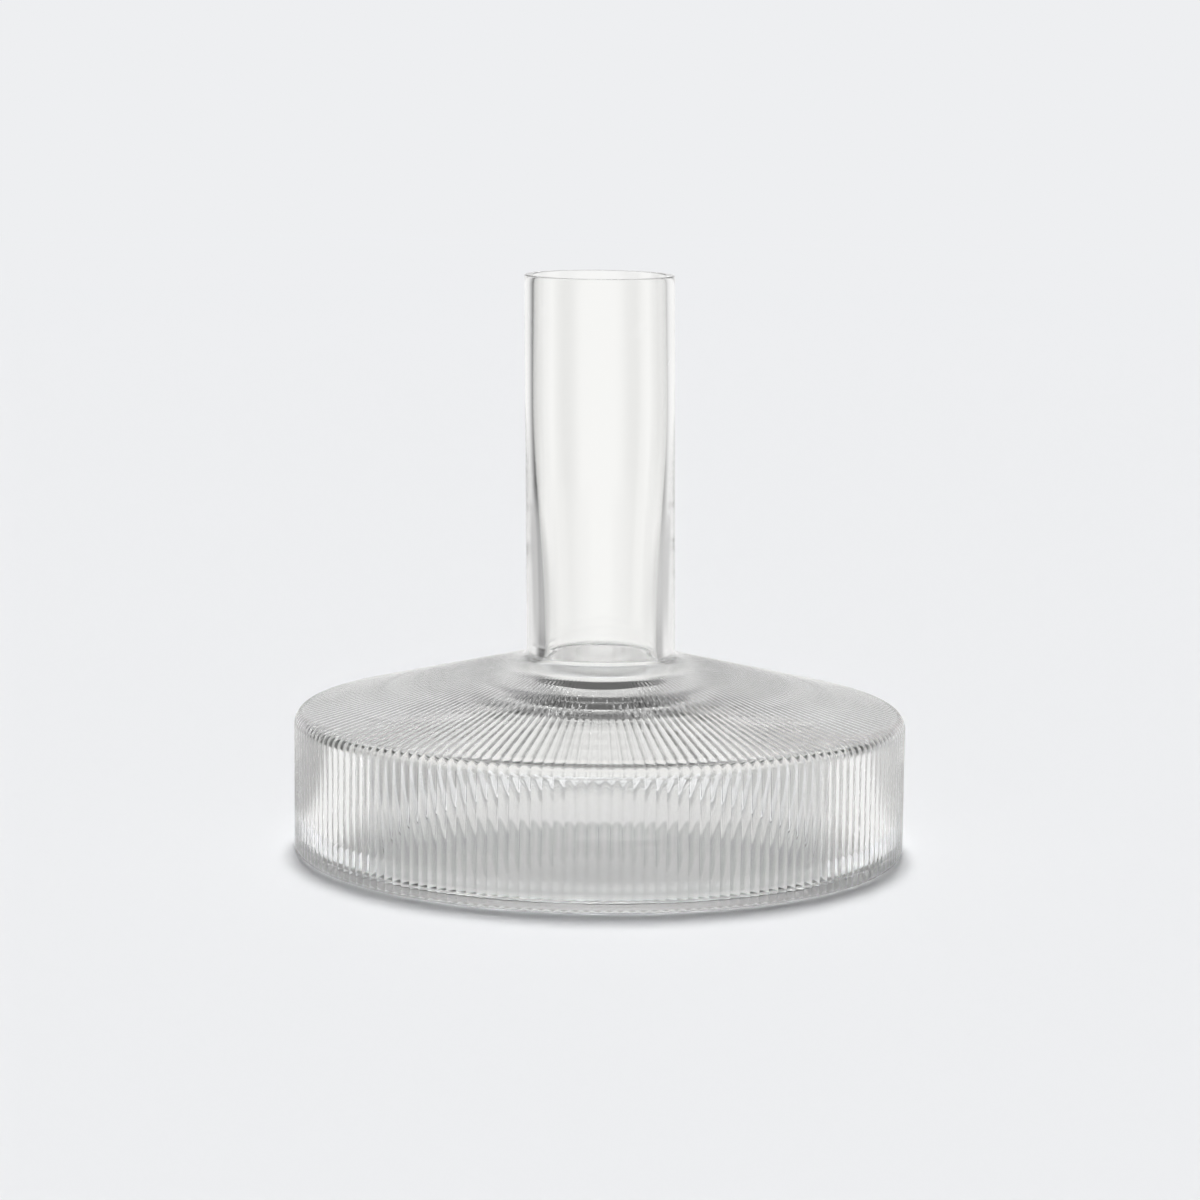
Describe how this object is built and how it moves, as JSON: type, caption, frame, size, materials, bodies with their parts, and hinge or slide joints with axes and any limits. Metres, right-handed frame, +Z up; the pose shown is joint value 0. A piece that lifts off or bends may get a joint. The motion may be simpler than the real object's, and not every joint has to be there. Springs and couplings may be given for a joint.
{
  "type": "wine carafe",
  "caption": "Clear blown-glass wine carafe: a low, wide body with fine ribs over shoulder and side, and a tall straight smooth neck with a cut rim, welded on at the collar.",
  "frame": {"origin": "centre of the standing ring, on the table", "axes": "+Z up along the axis of the body and neck; -Y towards the picture's camera"},
  "size_m": [0.225, 0.225, 0.212],
  "materials": {
    "clear_glass": "clear, fire-polished"
  },
  "bodies": {
    "root": {"ribbed_body": "clear_glass", "neck_tube": "clear_glass"}
  },
  "joints": []
}
